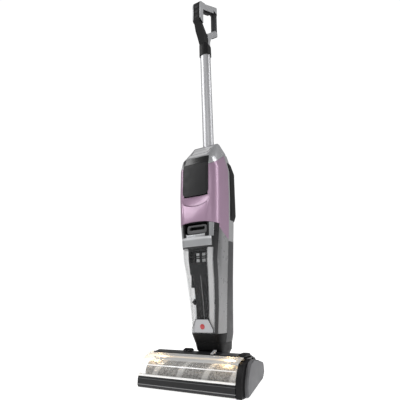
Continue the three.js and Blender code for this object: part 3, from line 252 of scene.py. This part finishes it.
def clear(name, color, facing, edge, roughness=0.04, ribs=(), frost=None, corner=None):
    """Thin clear moulding: nearly invisible face on, and denser where the wall is seen along its depth.

    ribs are heights of pale ribs on the front, and above frost the wall is frosted. corner is the stretch
    across the front, with its grey, that stands for the light a thick moulded corner gathers."""
    s = Shader(name, color, roughness)
    weight = s.node("ShaderNodeLayerWeight")
    weight.inputs["Blend"].default_value = 0.35
    s.link(s.remap(weight.outputs["Facing"], 0.15, 0.95, facing, edge), s.bsdf.inputs["Alpha"])
    s.vary_roughness(s.noise(25, 4), 0.02)
    s.bsdf.inputs["Specular IOR Level"].default_value = 0.5
    for low, high in ribs:
        s.thicken(s.times(s.within("Z", low, high), s.within("Y", -FAR, RIB_REAR)), RIB_ALPHA)
    if corner:
        low, high, pale = corner
        place = s.leaning(WING_FLARE)
        rise = s.remap(place, low - 0.002, low + 0.002, 0, 1)
        fall = s.remap(place, high - 0.0005, high + 0.0005, 1, 0)
        band = s.times(s.times(rise, fall), s.within("Y", -FAR, TANK_FRONT_REAR, 0.001))
        s.tint(band, (pale, pale, pale * 1.01))
        s.thicken(band, CORNER_ALPHA)
    if frost:
        s.thicken(s.within("Z", frost, 1, 0.001), FROST_ALPHA)
    return s.mat


def glowing(name, color, dim, bright, lamps):
    """Frosted light guide, brightest at its lamps (centre x and half-width)."""
    s = Shader(name, color, 0.3)
    s.vary_color(s.noise(220, 2), 0.04)
    s.bsdf.inputs["Emission Color"].default_value = (*color, 1)
    total = None
    for centre, half in lamps:
        mask = s.within("X", centre - half, centre + half, half)
        if total is None:
            total = mask
        else:
            adder = s.node("ShaderNodeMath", operation="ADD")
            s.link(total, adder.inputs[0])
            s.link(mask, adder.inputs[1])
            total = adder.outputs[0]
    s.link(s.remap(total, 0, 1, dim, bright), s.bsdf.inputs["Emission Strength"])
    return s.mat


def lid_paint(name):
    """The tank lid: a silver visor lip with a painted highlight along its upper edge, black painted shade on
    the shoulders and under the lip, and a grey block.
    """
    s = Shader(name, (0.3, 0.305, 0.315), 0.3, 0.6)
    s.vary_color(s.noise(2600, 1), 0.06)
    s.vary_roughness(s.noise(30, 5), 0.05)
    s.bump(s.noise(700, 2), 0.000015, 0.6)
    # Painted shade: black below the lip's top, for the dark gaps at the shoulders and under the lip.
    s.tint(s.within("Z", 0.3, LIP_TOP), (0.012, 0.012, 0.013))
    lip = s.times(s.within("X", -LIP_HALF, LIP_HALF), s.within("Z", LIP_BOTTOM, LIP_TOP))
    s.tint(lip, (0.36, 0.365, 0.375))
    # Painted highlight: a pale strip along the lip's upper edge, where it catches the light.
    edge = s.times(s.within("X", -LIP_HALF, LIP_HALF), s.within("Z", LIP_HIGHLIGHT_FROM, LIP_TOP - 0.001, 0.0016))
    s.tint(edge, (0.66, 0.665, 0.68))
    s.bsdf.inputs["Coat Weight"].default_value = 0.35
    s.bsdf.inputs["Coat Roughness"].default_value = 0.12
    return s.mat


def black_with_painted_highlight(name):
    """The separator's black, with a painted highlight: a pale line up its riser a little right of the middle.
    """
    s = Shader(name, (0.005, 0.005, 0.0055), 0.5)
    s.vary_color(s.noise(18), 0.06)
    s.vary_roughness(s.noise(60, 6), 0.07)
    s.bump(s.noise(1400, 2), 0.00006)
    s.bsdf.inputs["Specular IOR Level"].default_value = 0.18
    # Painted highlight: the pale vertical line up the riser.
    s.tint(s.times(s.within("X", *RISER_HIGHLIGHT_X), s.within("Z", *RISER_HIGHLIGHT_Z)), (0.22, 0.22, 0.225))
    return s.mat


def wing_paint(name):
    """Outer faces of the clean tank's side panels: satin grey, paler to the rear, with a black front seal."""
    s = Shader(name, (0.15, 0.15, 0.154), 0.3, 0.25)
    s.vary_color(s.noise(22), 0.08)
    s.tint(s.within("Y", WING_PALE_FRONT, SEAM_Y, 0.008), (0.25, 0.25, 0.255))
    s.tint(s.within("Y", -FAR, WING_SEAL_REAR, 0.0015), (0.012, 0.012, 0.013))
    s.vary_roughness(s.noise(60, 5), 0.05)
    s.bump(s.noise(900, 2), 0.00003)
    seal = s.remap(s.leaning(WING_FLARE), SEAL_EDGE - 0.0002, SEAL_EDGE + 0.0002, 1, 0)
    s.tint(seal, (0.006, 0.006, 0.007))
    s.bsdf.inputs["Coat Weight"].default_value = 0.3
    s.bsdf.inputs["Coat Roughness"].default_value = 0.15
    return s.mat


def cover_paint(name):
    """The head's top cover: black, and dark grey towards its +X end."""
    s = Shader(name, (0.014, 0.014, 0.015), 0.38)
    s.vary_color(s.noise(18), 0.06)
    s.vary_roughness(s.noise(60, 6), 0.07)
    s.bump(s.noise(1400, 2), 0.00006)
    s.tint(s.within("X", 0.052, 0.2), (0.085, 0.085, 0.088))
    return s.mat


def woven_pile(name, light, dark, band, centre_y, centre_z, lead):
    """Brush pile: mottled tufts crossed by a helical pale band."""
    s = Shader(name, light, 0.95)
    split = s.node("ShaderNodeSeparateXYZ")
    s.link(s.coord, split.inputs[0])
    y = s.node("ShaderNodeMath", operation="SUBTRACT")
    z = s.node("ShaderNodeMath", operation="SUBTRACT")
    s.link(split.outputs["Y"], y.inputs[0])
    s.link(split.outputs["Z"], z.inputs[0])
    y.inputs[1].default_value = centre_y
    z.inputs[1].default_value = centre_z
    turn = s.node("ShaderNodeMath", operation="ARCTAN2")
    s.link(z.outputs[0], turn.inputs[0])
    s.link(y.outputs[0], turn.inputs[1])
    turns = s.node("ShaderNodeMath", operation="DIVIDE")
    turns.inputs[1].default_value = 2 * math.pi
    s.link(turn.outputs[0], turns.inputs[0])
    along = s.node("ShaderNodeMath", operation="MULTIPLY_ADD")
    along.inputs[1].default_value = 1 / lead
    shifted = s.node("ShaderNodeMath", operation="SUBTRACT")
    shifted.inputs[1].default_value = BRUSH_SHIFT
    s.link(split.outputs["X"], shifted.inputs[0])
    s.link(shifted.outputs[0], along.inputs[0])
    s.link(turns.outputs[0], along.inputs[2])
    phase = s.node("ShaderNodeMath", operation="FRACT")
    s.link(along.outputs[0], phase.inputs[0])
    black, white = (0, 0, 0), (1, 1, 1)
    stops = [(0.0, black), (BAND_FROM, black), (0.42, white), (0.58, white), (BAND_TO, black)]
    stripe = s.ramp(phase.outputs[0], stops)
    base = s.ramp(s.noise(260, 8), [(0.38, dark), (0.62, light)])
    mix = s.node("ShaderNodeMix", data_type="RGBA")
    s.link(stripe, mix.inputs["Factor"])
    s.link(base, mix.inputs["A"])
    mix.inputs["B"].default_value = (*band, 1)
    s.link(mix.outputs["Result"], s.bsdf.inputs["Base Color"])
    s.bump(s.noise(900, 4), 0.0006)
    s.bsdf.inputs["Sheen Weight"].default_value = 0.4
    return s.mat


# Places in metres. Those read from the frame follow the CAD. The typed ones are chosen to suit it, so they
# need setting again if the lid, the tank, the separator or the window changes.
FAR = 0.2  # beyond the front of anything here
RIB_ALPHA, CORNER_ALPHA, FROST_ALPHA = 0.85, 0.8, 0.42
LIP_HALF, LIP_BOTTOM, LIP_TOP = 0.0424, 0.3226, 0.3456
LIP_HIGHLIGHT_FROM = 0.339  # the painted highlight along the lip's upper edge starts here
WINDOW_RIBS = ((0.0257, 0.0298), (0.0488, 0.0508))
WINDOW_FROST = 0.0605  # frosted above this height
BUMPER_LINES = [(0.0074, 0.009, 0.22), (0.0203, 0.0211, 0.12)]  # from, to, grey
SPINE_BAND = (0.3405, 0.6, 0.27)
# Across and up the riser: where its painted highlight runs.
RISER_HIGHLIGHT_X, RISER_HIGHLIGHT_Z = (0.0031, 0.0043), (0.125, 0.252)
BAND_FROM, BAND_TO = 0.36, 0.64  # the brush band's share of a turn
SEAM_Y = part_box("rear_spine")[0].y
WING_FLARE = 0.074
WING_SEAL_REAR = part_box("clean_tank")[0].y + 0.0075
WING_PALE_FRONT = WING_SEAL_REAR + 0.02
SEAL_EDGE = 0.0279
TANK_FRONT_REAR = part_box("dirty_tank")[0].y + 0.03
LED_LOW, LED_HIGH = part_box("led_bar")
LAMPS = [(LED_LOW.x + 0.008, 0.013), (LED_HIGH.x - 0.008, 0.013)]
BRUSH_LOW, BRUSH_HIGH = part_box("brush_pile")
BRUSH_CENTRE = (BRUSH_LOW + BRUSH_HIGH) / 2
BRUSH_LEAD = 0.0677
BRUSH_SHIFT = 0.0346
RIB_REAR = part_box("brush_window")[0].y + 0.0125

MATERIALS = {
    "black_plastic": moulded("black_plastic", (0.006, 0.006, 0.0065), 0.48, gloss=0.2),
    "gloss_black": polished("gloss_black", (0.004, 0.004, 0.0045), 0.24, 0.08),
    "grey_plastic": moulded("grey_plastic", (0.085, 0.085, 0.088), 0.42, gloss=0.4),
    "light_grey": moulded("light_grey", (0.42, 0.42, 0.43), 0.45),
    "silver_paint": metallic_paint("silver_paint", (0.5, 0.505, 0.52), 0.3, 0.7, 0.06),
    "lilac_paint": metallic_paint("lilac_paint", (0.33, 0.215, 0.305), 0.38, 0.4, 0.08),
    "aluminium": brushed("aluminium", (0.5, 0.5, 0.515), 0.46, (300, 300, 3), 0.03),
    "steel": brushed("steel", (0.62, 0.62, 0.63), 0.3, (30, 900, 900)),
    "rubber": rubbery("rubber", (0.012, 0.012, 0.013)),
    "clear_plastic": clear(
        "clear_plastic", (0.42, 0.43, 0.44), 0.02, 0.34, corner=(0.0085, SEAL_EDGE - 0.0085, 0.5),
    ),
    "smoked_plastic": wing_paint("smoked_plastic"),
    "warm_lens": glowing("warm_lens", (1.0, 0.74, 0.42), 0.5, 7.0, LAMPS),
    "circuit_board": moulded("circuit_board", (0.02, 0.13, 0.05), 0.4, 500),
    "filter_media": moulded("filter_media", (0.75, 0.74, 0.7), 0.9, 700, 0.0003),
    "pile": woven_pile(
        "pile", (0.5, 0.485, 0.46), (0.16, 0.15, 0.14), (0.86, 0.85, 0.83),
        BRUSH_CENTRE.y, BRUSH_CENTRE.z, BRUSH_LEAD,
    ),
}
# Painted light: the glow brightens the pale walls, standing in for light passed through them.
TANK_WHITE = moulded("tank_white", (0.86, 0.87, 0.88), 0.4, 300, 0.00001, 0.03, glow=0.22)
WING_CLEAR = clear("wing_clear", (0.8, 0.81, 0.82), 0.05, 0.3)
WINDOW_CLEAR = clear(
    "window_clear", (0.95, 0.95, 0.94), 0.06, 0.55, ribs=WINDOW_RIBS, frost=WINDOW_FROST,
)
CAGE_BLACK = black_with_painted_highlight("cage_black")
BUMPER = banded("bumper", (0.009, 0.009, 0.01), 0.4, BUMPER_LINES)
SPINE = banded("spine", (0.05, 0.05, 0.052), 0.42, [SPINE_BAND])
RED = polished("badge_red", (0.42, 0.015, 0.02), 0.3, 0.5)
LID_PAINT = lid_paint("lid_paint")
COVER_PAINT = cover_paint("cover_paint")
DISPLAY_GREY = polished("display_grey", (0.6, 0.6, 0.61), 0.3, 0.3)
DOOR_BLACK = moulded("door_black", (0.011, 0.011, 0.012), 0.46, 1600, 0.00005, gloss=0.25)
BADGE_SILVER = metallic_paint("badge_silver", (0.36, 0.362, 0.375), 0.34, 0.75, 0.06)
CAP_GREY = moulded("cap_grey", (0.125, 0.125, 0.13), 0.42, gloss=0.4)


# ---- Skins over the CAD nodes ------------------------------------------------------------------------

def inset_largest(bm, thickness):
    """Frame the largest face that looks up, or of all if none does, and give the border's face numbers."""
    bm.faces.ensure_lookup_table()
    upward = [face for face in bm.faces if face.normal.z > 0.3]
    largest = max(upward or bm.faces, key=lambda face: face.calc_area())
    frame_faces = bmesh.ops.inset_region(bm, faces=[largest], thickness=thickness)["faces"]
    bm.faces.index_update()
    return [face.index for face in frame_faces]


def skin(node, bevel=0.5, smooth=34, materials=None, pick=None, inset=0):
    """A copy of a CAD node with merged flats, rounded edges and smooth curves, shown in its place.

    pick(centre, normal) gives the index in materials of each face's paint."""
    mesh = frame["nodes"][node].data.copy()
    mesh.name = node + "_skin"
    bm = bmesh.new()
    bm.from_mesh(mesh)
    bmesh.ops.remove_doubles(bm, verts=bm.verts, dist=2e-6)
    bmesh.ops.dissolve_limit(bm, angle_limit=math.radians(0.6), verts=bm.verts, edges=bm.edges)
    border = inset_largest(bm, inset) if inset else []
    bm.to_mesh(mesh)
    bm.free()
    mesh.materials.clear()
    for material in materials or [MATERIALS[SLOT_OF[node]]]:
        mesh.materials.append(material)
    for face in mesh.polygons:
        face.material_index = pick(face.center, face.normal) if pick else 0
    for index in border:
        mesh.polygons[index].material_index = 1
    mesh.shade_smooth()
    mesh.set_sharp_from_angle(angle=math.radians(smooth))
    made = bpy.data.objects.new(node + "_skin", mesh)
    bpy.context.scene.collection.objects.link(made)
    if bevel:
        rounding = made.modifiers.new("edge", "BEVEL")
        rounding.width = bevel * MM
        rounding.segments = 2
        rounding.limit_method = "ANGLE"
        rounding.angle_limit = math.radians(40)
        rounding.harden_normals = True
    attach(made, BODY_OF[node])
    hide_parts(node)
    return made


BEVELS = {
    "handle_shell_left": 2.2, "handle_shell_right": 2.2, "handle_front": 1.6, "front_shell": 0.8,
    "top_collar": 2.6, "tank_lid": 2.0, "end_cap_right": 1.6, "head_top_cover": 1.0, "release_button": 1.8,
    "cover_catch": 1.2, "battery_pack": 1.4, "front_bumper": 1.0, "drive_housing": 1.0, "tank_latch": 1.2,
    "power_button": 0.9, "mode_button_upper": 0.9, "mode_button_lower": 0.9, "front_badge": 0,
    "neck_yoke": 1.2, "base_seat": 0.8, "wheel_left": 1.0, "wheel_right": 1.0, "tyre_left": 1.6,
    "tyre_right": 1.6, "cover_strip": 0.8, "filter_door": 0.8, "separator": 0.6, "float_ring": 0.8,
    "trigger": 1.2, "rear_spine": 0.8, "clean_tank": 0, "dirty_tank": 0.4, "brush_window": 0.4,
}
PLAIN = {"brush_pile"}
INSETS = {"display_lens": 0.0022}


def wing_face(centre, normal):
    """0 on the outside of the side panels, 1 on the pale walls, 2 on the clear front of the left panel."""
    if centre.x < -0.028 and centre.y < SEAM_Y - 0.013:
        return 2
    outside = abs(centre.x) > 0.03 and normal.x * centre.x > 0.3 * abs(centre.x)
    return 0 if outside and centre.y < SEAM_Y + 0.001 else 1


def lid_face(centre, normal):
    """1 on the latch recess's liner."""
    inside = abs(centre.x) < 0.0345 and centre.z > 0.3512 and centre.y < LATCH_LOW.y + 0.0135
    return 1 if inside else 0


def arm_face(centre, normal):
    """1 on the undersides of the handle's arms, which are black."""
    return 1 if normal.z < -0.25 else 0


BADGE_BOTTOM_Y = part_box("front_badge")[0].y + 0.0031
LATCH_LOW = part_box("tank_latch")[0]
PAINTS = {
    "clean_tank": ([MATERIALS["smoked_plastic"], TANK_WHITE, WING_CLEAR], wing_face),
    "tank_lid": ([LID_PAINT, MATERIALS["black_plastic"]], lid_face),
    "handle_shell_left": ([MATERIALS["silver_paint"], MATERIALS["black_plastic"]], arm_face),
    "handle_shell_right": ([MATERIALS["silver_paint"], MATERIALS["black_plastic"]], arm_face),
    "head_top_cover": ([COVER_PAINT], None),
    "display_lens": ([DISPLAY_GREY, MATERIALS["black_plastic"]], None),
    "filter_door": ([DOOR_BLACK], None),
    "brush_window": ([WINDOW_CLEAR], None),
    "separator": ([CAGE_BLACK], None),
    "front_bumper": ([BUMPER], None),
    "front_badge": ([BADGE_SILVER], None),
    "end_cap_right": ([CAP_GREY], None),
    "rear_spine": ([SPINE], None),
}


def skin_everything():
    for node in sorted(frame["nodes"]):
        if node not in PLAIN:
            materials, pick = PAINTS.get(node, (None, None))
            skin(node, BEVELS.get(node, 0.3), materials=materials, pick=pick, inset=INSETS.get(node, 0))


# ---- Detail pieces -----------------------------------------------------------------------------------

def mesh_piece(name, vertices, faces, material, body, smooth=False):
    mesh = bpy.data.meshes.new(name)
    mesh.from_pydata([tuple(v) for v in vertices], [], faces)
    mesh.materials.append(MATERIALS[material] if isinstance(material, str) else material)
    if smooth:
        mesh.shade_smooth()
    made = bpy.data.objects.new(name, mesh)
    bpy.context.scene.collection.objects.link(made)
    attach(made, body)
    return made


def brush_roll():
    """Pile sleeve: a core skin with thousands of leaning tufts, longer along the helical band."""
    around, along = 72, 150
    tuft_width = 0.0011
    left, right = BRUSH_LOW.x, BRUSH_HIGH.x
    top = (BRUSH_HIGH.z - BRUSH_LOW.z) / 2
    core = top - 0.0035
    vertices, faces = [], []
    for j in range(along + 1):
        x = left + (right - left) * j / along
        for i in range(around):
            angle = 2 * math.pi * i / around
            lift = noise.noise(Vector((x * 90, math.cos(angle) * 4, math.sin(angle) * 4))) * 0.0009
            radius = core + lift
            y = BRUSH_CENTRE.y + radius * math.cos(angle)
            vertices.append((x, y, BRUSH_CENTRE.z + radius * math.sin(angle)))
    for j in range(along):
        for i in range(around):
            a, b = j * around + i, j * around + (i + 1) % around
            faces.append((a, b, b + around, a + around))
    rings = [list(range(around)), list(range(along * around, (along + 1) * around))]
    faces += [tuple(rings[0][::-1]), tuple(rings[1])]
    rows, columns = 66, 118
    for r in range(rows):
        for c in range(columns):
            jitter = noise.noise(Vector((r * 1.7, c * 2.3, 0.5)))
            angle = 2 * math.pi * (r + 0.5 * (c % 2) + 0.5 * jitter) / rows
            x = left + 0.002 + (right - left - 0.004) * (c + 0.5 + 0.6 * jitter) / columns
            phase = ((x - BRUSH_SHIFT) / BRUSH_LEAD + angle / (2 * math.pi)) % 1
            tall = top - 0.0002 if BAND_FROM < phase < BAND_TO else top - 0.0013 + 0.0008 * jitter
            base = Vector((0, math.cos(angle), math.sin(angle)))
            side = Vector((0, -math.sin(angle), math.cos(angle)))
            root = Vector((x, BRUSH_CENTRE.y, BRUSH_CENTRE.z)) + base * (core - 0.0006)
            tip = Vector((x + 0.0006 * jitter, BRUSH_CENTRE.y, BRUSH_CENTRE.z)) + base * tall + side * 0.0007
            heel = root - side * tuft_width * 0.5
            spread = Vector((tuft_width, 0, 0))
            start = len(vertices)
            vertices += [root + side * tuft_width, heel + spread, heel - spread, tip]
            faces += [(start + i, start + (i + 1) % 3, start + 3) for i in range(3)]
    made = mesh_piece("brush_pile_tufts", vertices, faces, "pile", "brush", True)
    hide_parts("brush_pile")


def badge_point(x, z, proud):
    """A point on the badge's sloping front face."""
    low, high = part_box("front_badge")
    share = (z - low.z) / (high.z - low.z)
    return Vector((x, BADGE_BOTTOM_Y + (low.y - BADGE_BOTTOM_Y) * share - proud, z))


def badge_details():
    """A plain red disc on the badge, and a thin dark surround."""
    centre, radius, count = 0.1325, 0.0062, 36
    rings = [(radius, -0.0004), (radius, 0.0005), (radius * 0.86, 0.0008)]
    vertices, faces = [], []
    for size, proud in rings:
        for i in range(count):
            angle = 2 * math.pi * i / count
            vertices.append(badge_point(size * math.cos(angle), centre + size * math.sin(angle), proud))
    for ring in range(len(rings) - 1):
        for i in range(count):
            a, b = ring * count + i, ring * count + (i + 1) % count
            faces.append((a, b, b + count, a + count))
    faces.append(tuple(range(2 * count, 3 * count)))
    mesh_piece("badge_disc", vertices, faces, RED, "tank", True)
    low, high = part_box("front_badge")
    half, slope = high.x, 0.012
    shape = [(-half, low.z), (half, low.z), (half, low.z + 0.008), (half - slope, high.z)]
    shape += [(-half + slope, high.z), (-half, low.z + 0.008)]
    mid = Vector((0, (low.z + high.z) / 2))
    vertices, faces = [], []
    for x, z in shape:
        out = (Vector((x, z)) - mid).normalized()
        for grow, proud in ((0.0001, 0.0001), (0.0001, 0.0006), (0.0016, 0.0006), (0.0016, 0.0001)):
            vertices.append(badge_point(x + out.x * grow, z + out.y * grow, proud))
    for i in range(len(shape)):
        a, b = i * 4, ((i + 1) % len(shape)) * 4
        for k in range(4):
            m = (k + 1) % 4
            faces.append((a + k, b + k, b + m, a + m))
    mesh_piece("badge_surround", vertices, faces, "black_plastic", "tank")


# ---- Stage -------------------------------------------------------------------------------------------

def floor():
    size = 9.0
    mesh = bpy.data.meshes.new("floor")
    corners = [(-size, -size, 0), (size, -size, 0), (size, size, 0), (-size, size, 0)]
    mesh.from_pydata(corners, [], [(0, 1, 2, 3)])
    s = Shader("floor_white", (0.9, 0.9, 0.905), 0.7)
    s.vary_color(s.noise(3), 0.01)
    s.bsdf.inputs["Emission Color"].default_value = (1, 1, 1, 1)
    s.bsdf.inputs["Emission Strength"].default_value = 0.8
    mesh.materials.append(s.mat)
    made = bpy.data.objects.new("floor", mesh)
    bpy.context.scene.collection.objects.link(made)
    made.location.z = cad_low.z - 0.0005


def area_light(name, place, target, size, power, color=(1, 1, 1)):
    data = bpy.data.lights.new(name, "AREA")
    data.shape = "RECTANGLE"
    data.size, data.size_y = size
    data.energy = power
    data.color = color
    light = bpy.data.objects.new(name, data)
    light.location = place
    light.rotation_euler = (Vector(target) - Vector(place)).to_track_quat("-Z", "Y").to_euler()
    bpy.context.scene.collection.objects.link(light)


def lights():
    world = bpy.data.worlds.new("studio")
    bpy.context.scene.world = world
    world.use_nodes = True
    tree = world.node_tree
    background = tree.nodes["Background"]
    background.inputs["Color"].default_value = (1, 1, 1, 1)
    path = tree.nodes.new("ShaderNodeLightPath")
    level = tree.nodes.new("ShaderNodeMapRange")
    level.inputs["To Min"].default_value = 0.32
    level.inputs["To Max"].default_value = 1.05
    tree.links.new(path.outputs["Is Camera Ray"], level.inputs["Value"])
    tree.links.new(level.outputs["Result"], background.inputs["Strength"])
    area_light("key", (-1.7, -1.4, 1.9), (0, 0, 0.45), (0.9, 1.8), 27)
    area_light("rim", (1.6, 0.4, 1.2), (0, 0, 0.5), (0.4, 1.8), 12)
    area_light("front", (0.9, -2.4, 1.5), (0, 0, 0.3), (1.6, 1.6), 9)
    for x, _ in LAMPS:
        data = bpy.data.lights.new("lamp_glow", "POINT")
        data.energy = 0.075
        data.color = (1, 0.72, 0.4)
        data.shadow_soft_size = 0.008
        glow = bpy.data.objects.new("lamp_glow", data)
        glow.location = (x, LED_LOW.y - 0.012, LED_LOW.z + 0.001)
        bpy.context.scene.collection.objects.link(glow)


def camera():
    """Camera low at the right front, under a metre off, looking a little up."""
    azimuth, pitch, roll = math.radians(30.7), math.radians(15.9), math.radians(-0.85)
    distance, height, lead = 0.9648, 0.18144, 0.0163
    right = Vector((math.cos(azimuth), math.sin(azimuth), 0))
    level = Vector((-math.sin(azimuth), math.cos(azimuth), 0))
    forward = level * math.cos(pitch) + Vector((0, 0, math.sin(pitch)))
    up = right.cross(forward)
    level_right = right * math.cos(roll) + up * math.sin(roll)
    level_up = up * math.cos(roll) - right * math.sin(roll)
    data = bpy.data.cameras.new("camera")
    data.sensor_width = 36
    data.lens = 33.3
    data.shift_x = -0.02
    made = bpy.data.objects.new("camera", data)
    axes = Matrix((level_right, level_up, -forward)).transposed()
    place = Vector((math.sin(azimuth) * distance, -math.cos(azimuth) * distance + lead, height))
    made.matrix_world = Matrix.Translation(place) @ axes.to_4x4()
    bpy.context.scene.collection.objects.link(made)
    bpy.context.scene.camera = made


skin_everything()
brush_roll()
badge_details()
floor()
lights()
camera()
bpy.context.scene.view_settings.view_transform = "Standard"
